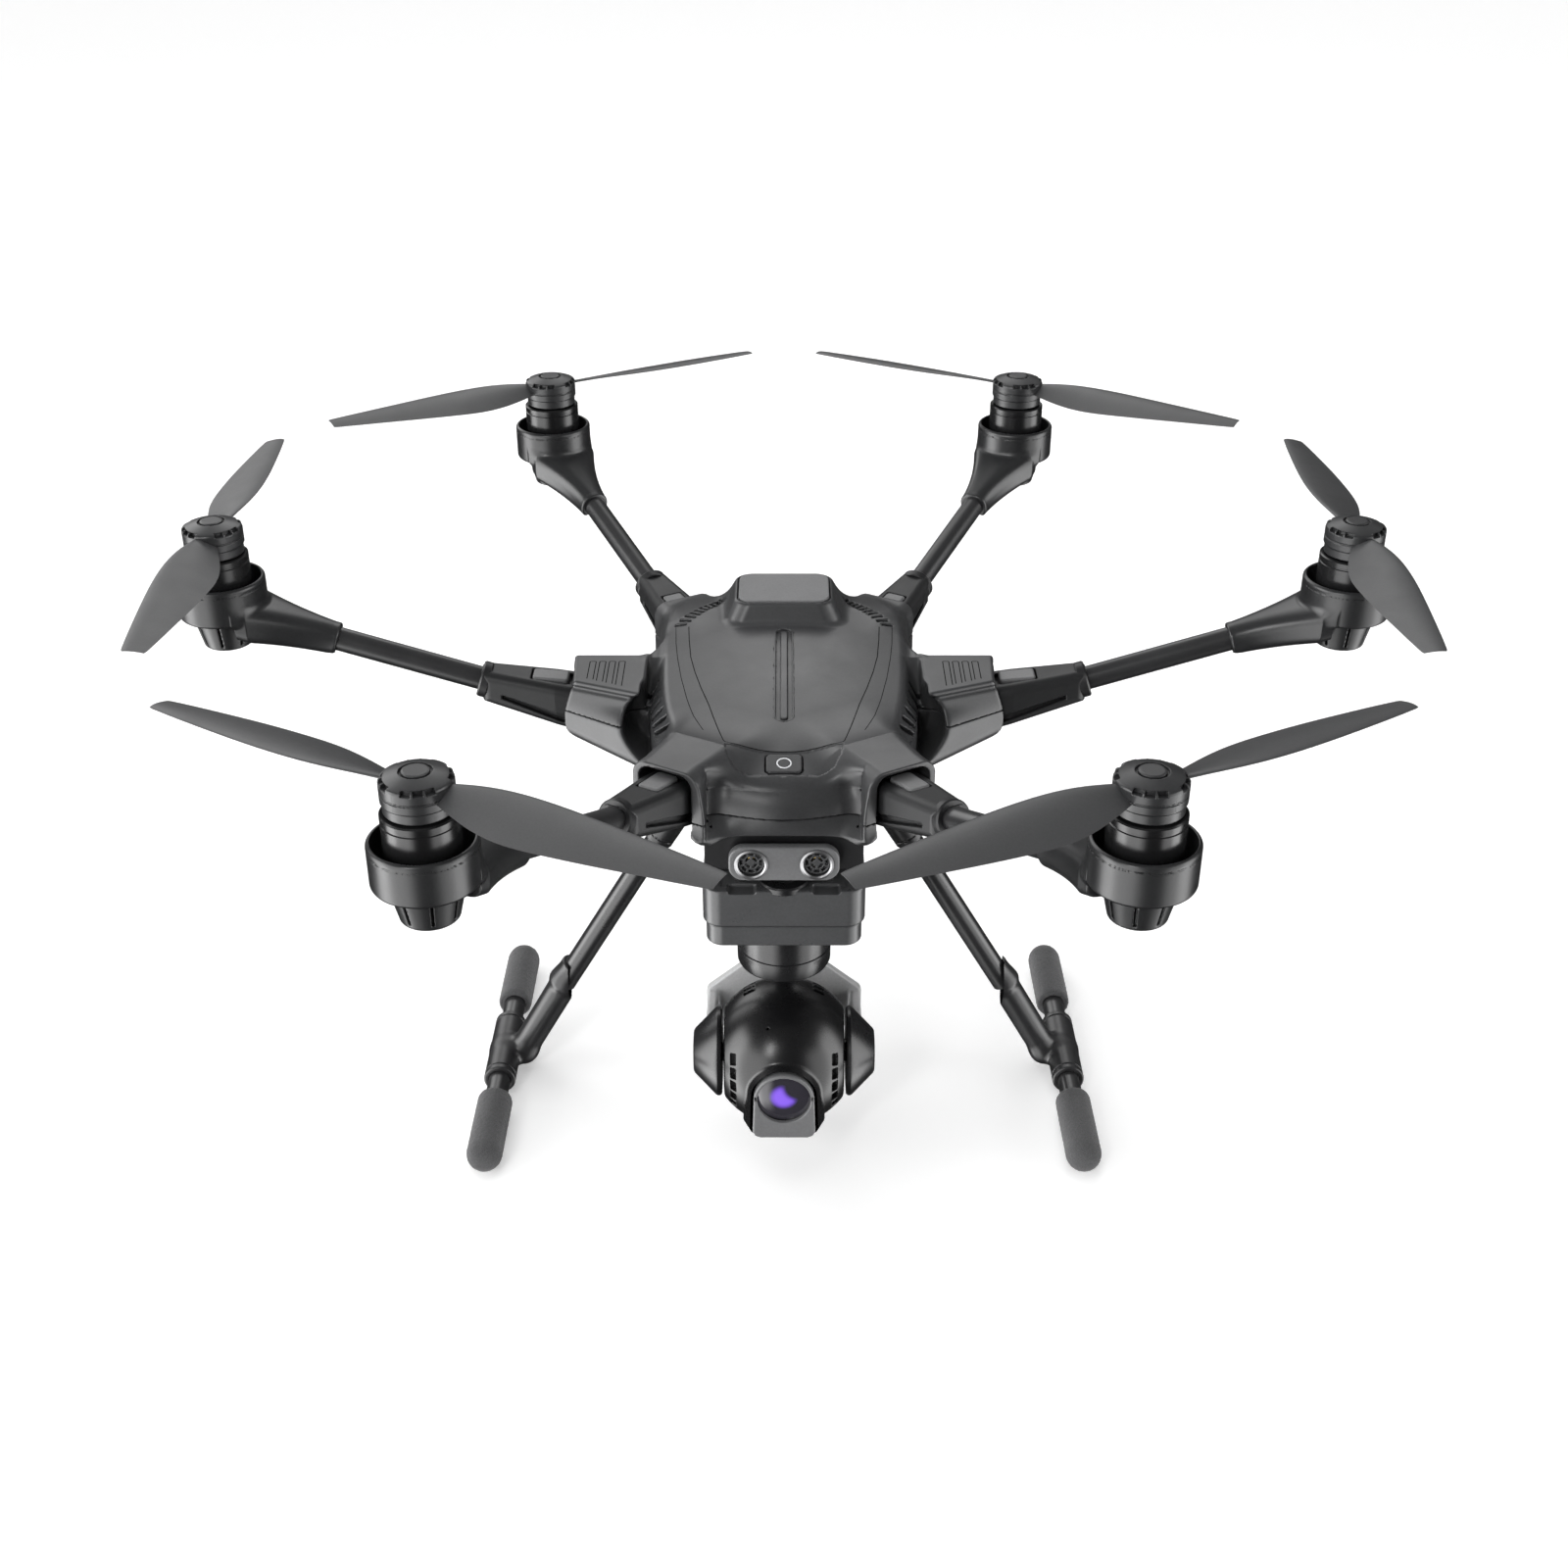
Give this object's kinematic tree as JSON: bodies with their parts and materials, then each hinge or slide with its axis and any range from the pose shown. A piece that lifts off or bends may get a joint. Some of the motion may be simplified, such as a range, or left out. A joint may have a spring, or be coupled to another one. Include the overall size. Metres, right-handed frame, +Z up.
{
  "type": "hexacopter camera drone",
  "caption": "Folding camera drone: moulded body, tilted arms with cupped motors and two-blade propellers, retracting skid legs and a slung camera gimbal.",
  "frame": {"origin": "on the ground, under the centre of the rotor pattern", "axes": "+Z up, -Y towards the nose, so +Y is the tail; +X is the pilot's left"},
  "size_m": [0.523, 0.5402, 0.281],
  "materials": {
    "shell_grey": "satin",
    "shell_dark": "fine texture",
    "lid_grey": "satin",
    "pod_grey": "satin",
    "knuckle_grey": "satin",
    "latch_grey": "smooth",
    "carbon_tube": "woven carbon",
    "motor_black": "satin",
    "blade_grey": "fine texture",
    "black_metal": "satin",
    "steel": "bright",
    "foam": "open-cell foam",
    "damper_rubber": "matt",
    "board_green": "solder mask",
    "battery_grey": "fine texture",
    "yoke_silver": "satin",
    "camera_black": "gloss",
    "lens_glass": "coated"
  },
  "bodies": {
    "airframe": {"upper_shell": "shell_grey", "lower_shell": "shell_dark", "antenna_lid": "lid_grey", "spine_trim": "latch_grey", "body_screws": "steel", "main_board": "board_green", "sonar_bezel": "pod_grey", "sonar_transducers": "black_metal", "hinge_pins": "steel", "leg_brackets": "shell_dark", "gimbal_mount": "shell_grey", "gimbal_dampers": "damper_rubber"},
    "arm_front_right": {"arm_tube_front_right": "carbon_tube", "arm_knuckle_front_right": "knuckle_grey", "motor_pod_front_right": "pod_grey"},
    "latch_front_right": {"arm_latch_front_right": "latch_grey"},
    "rotor_front_right": {"motor_bell_front_right": "motor_black", "propeller_front_right": "blade_grey"},
    "arm_front_left": {"arm_tube_front_left": "carbon_tube", "arm_knuckle_front_left": "knuckle_grey", "motor_pod_front_left": "pod_grey"},
    "latch_front_left": {"arm_latch_front_left": "latch_grey"},
    "rotor_front_left": {"motor_bell_front_left": "motor_black", "propeller_front_left": "blade_grey"},
    "arm_mid_right": {"arm_tube_mid_right": "carbon_tube", "arm_knuckle_mid_right": "knuckle_grey", "motor_pod_mid_right": "pod_grey"},
    "latch_mid_right": {"arm_latch_mid_right": "latch_grey"},
    "rotor_mid_right": {"motor_bell_mid_right": "motor_black", "propeller_mid_right": "blade_grey"},
    "arm_mid_left": {"arm_tube_mid_left": "carbon_tube", "arm_knuckle_mid_left": "knuckle_grey", "motor_pod_mid_left": "pod_grey"},
    "latch_mid_left": {"arm_latch_mid_left": "latch_grey"},
    "rotor_mid_left": {"motor_bell_mid_left": "motor_black", "propeller_mid_left": "blade_grey"},
    "arm_rear_right": {"arm_tube_rear_right": "carbon_tube", "arm_knuckle_rear_right": "knuckle_grey", "motor_pod_rear_right": "pod_grey"},
    "latch_rear_right": {"arm_latch_rear_right": "latch_grey"},
    "rotor_rear_right": {"motor_bell_rear_right": "motor_black", "propeller_rear_right": "blade_grey"},
    "arm_rear_left": {"arm_tube_rear_left": "carbon_tube", "arm_knuckle_rear_left": "knuckle_grey", "motor_pod_rear_left": "pod_grey"},
    "latch_rear_left": {"arm_latch_rear_left": "latch_grey"},
    "rotor_rear_left": {"motor_bell_rear_left": "motor_black", "propeller_rear_left": "blade_grey"},
    "leg_left": {"left_leg_tubes": "carbon_tube", "left_leg_fittings": "shell_dark", "left_foam_grips": "foam"},
    "leg_right": {"right_leg_tubes": "carbon_tube", "right_leg_fittings": "shell_dark", "right_foam_grips": "foam"},
    "gimbal_yaw": {"gimbal_yaw_arm": "black_metal"},
    "gimbal_roll": {"gimbal_roll_yoke": "yoke_silver"},
    "camera": {"camera_head": "camera_black", "camera_lens": "lens_glass"},
    "battery": {"battery_pack": "battery_grey"},
    "power_button": {"power_button": "shell_grey"}
  },
  "joints": [
    {"name": "fold_front_right", "type": "hinge", "parent": "airframe", "child": "arm_front_right", "pos_m": [-0.042, -0.07275, 0.19], "axis": [0.866, -0.5, 0], "range_deg": [0, 75]},
    {"name": "latch_slide_front_right", "type": "slide", "parent": "arm_front_right", "child": "latch_front_right", "axis": [0.5, 0.866, 0], "range_m": [0, 0.0025], "stiffness_N_per_m": 400},
    {"name": "spin_front_right", "type": "hinge", "parent": "arm_front_right", "child": "rotor_front_right", "pos_m": [-0.12, -0.20785, 0.255], "axis": [0, 0, 1], "continuous": true},
    {"name": "fold_front_left", "type": "hinge", "parent": "airframe", "child": "arm_front_left", "pos_m": [0.042, -0.07275, 0.19], "axis": [0.866, 0.5, 0], "range_deg": [0, 75]},
    {"name": "latch_slide_front_left", "type": "slide", "parent": "arm_front_left", "child": "latch_front_left", "axis": [-0.5, 0.866, 0], "range_m": [0, 0.0025], "stiffness_N_per_m": 400},
    {"name": "spin_front_left", "type": "hinge", "parent": "arm_front_left", "child": "rotor_front_left", "pos_m": [0.12, -0.20785, 0.255], "axis": [0, 0, 1], "continuous": true},
    {"name": "fold_mid_right", "type": "hinge", "parent": "airframe", "child": "arm_mid_right", "pos_m": [-0.0865, 0.009, 0.19], "axis": [0, -1, 0], "range_deg": [0, 75]},
    {"name": "latch_slide_mid_right", "type": "slide", "parent": "arm_mid_right", "child": "latch_mid_right", "axis": [1, 0, 0], "range_m": [0, 0.0025], "stiffness_N_per_m": 400},
    {"name": "spin_mid_right", "type": "hinge", "parent": "arm_mid_right", "child": "rotor_mid_right", "pos_m": [-0.2425, 0.009, 0.255], "axis": [0, 0, 1], "continuous": true},
    {"name": "fold_mid_left", "type": "hinge", "parent": "airframe", "child": "arm_mid_left", "pos_m": [0.0865, 0.009, 0.19], "axis": [0, 1, 0], "range_deg": [0, 75]},
    {"name": "latch_slide_mid_left", "type": "slide", "parent": "arm_mid_left", "child": "latch_mid_left", "axis": [-1, 0, 0], "range_m": [0, 0.0025], "stiffness_N_per_m": 400},
    {"name": "spin_mid_left", "type": "hinge", "parent": "arm_mid_left", "child": "rotor_mid_left", "pos_m": [0.2425, 0.009, 0.255], "axis": [0, 0, 1], "continuous": true},
    {"name": "fold_rear_right", "type": "hinge", "parent": "airframe", "child": "arm_rear_right", "pos_m": [-0.042, 0.07275, 0.19], "axis": [-0.866, -0.5, 0], "range_deg": [0, 75]},
    {"name": "latch_slide_rear_right", "type": "slide", "parent": "arm_rear_right", "child": "latch_rear_right", "axis": [0.5, -0.866, 0], "range_m": [0, 0.0025], "stiffness_N_per_m": 400},
    {"name": "spin_rear_right", "type": "hinge", "parent": "arm_rear_right", "child": "rotor_rear_right", "pos_m": [-0.12, 0.20785, 0.255], "axis": [0, 0, 1], "continuous": true},
    {"name": "fold_rear_left", "type": "hinge", "parent": "airframe", "child": "arm_rear_left", "pos_m": [0.042, 0.07275, 0.19], "axis": [-0.866, 0.5, 0], "range_deg": [0, 75]},
    {"name": "latch_slide_rear_left", "type": "slide", "parent": "arm_rear_left", "child": "latch_rear_left", "axis": [-0.5, -0.866, 0], "range_m": [0, 0.0025], "stiffness_N_per_m": 400},
    {"name": "spin_rear_left", "type": "hinge", "parent": "arm_rear_left", "child": "rotor_rear_left", "pos_m": [0.12, 0.20785, 0.255], "axis": [0, 0, 1], "continuous": true},
    {"name": "leg_retract_left", "type": "hinge", "parent": "airframe", "child": "leg_left", "pos_m": [0.045, 0, 0.1505], "axis": [0, 1, 0], "range_deg": [-68, 0]},
    {"name": "leg_retract_right", "type": "hinge", "parent": "airframe", "child": "leg_right", "pos_m": [-0.045, 0, 0.1505], "axis": [0, -1, 0], "range_deg": [-68, 0]},
    {"name": "gimbal_yaw_turn", "type": "hinge", "parent": "airframe", "child": "gimbal_yaw", "pos_m": [0, -0.05, 0.12], "axis": [0, 0, 1], "range_deg": [-150, 150]},
    {"name": "gimbal_roll_turn", "type": "hinge", "parent": "gimbal_yaw", "child": "gimbal_roll", "pos_m": [0, -0.01, 0.0465], "axis": [0, 1, 0], "range_deg": [-40, 40]},
    {"name": "gimbal_pitch_turn", "type": "hinge", "parent": "gimbal_roll", "child": "camera", "pos_m": [0, -0.05, 0.0465], "axis": [1, 0, 0], "range_deg": [-30, 90]},
    {"name": "battery_slide", "type": "slide", "parent": "airframe", "child": "battery", "axis": [0, 1, 0], "range_m": [0, 0.13]},
    {"name": "power_press", "type": "slide", "parent": "airframe", "child": "power_button", "axis": [0, 0.2419, -0.9703], "range_m": [0, 0.0008], "stiffness_N_per_m": 1500}
  ],
  "couplings": [
    {"joint": "leg_retract_right", "follows": "leg_retract_left", "ratio": 1}
  ]
}
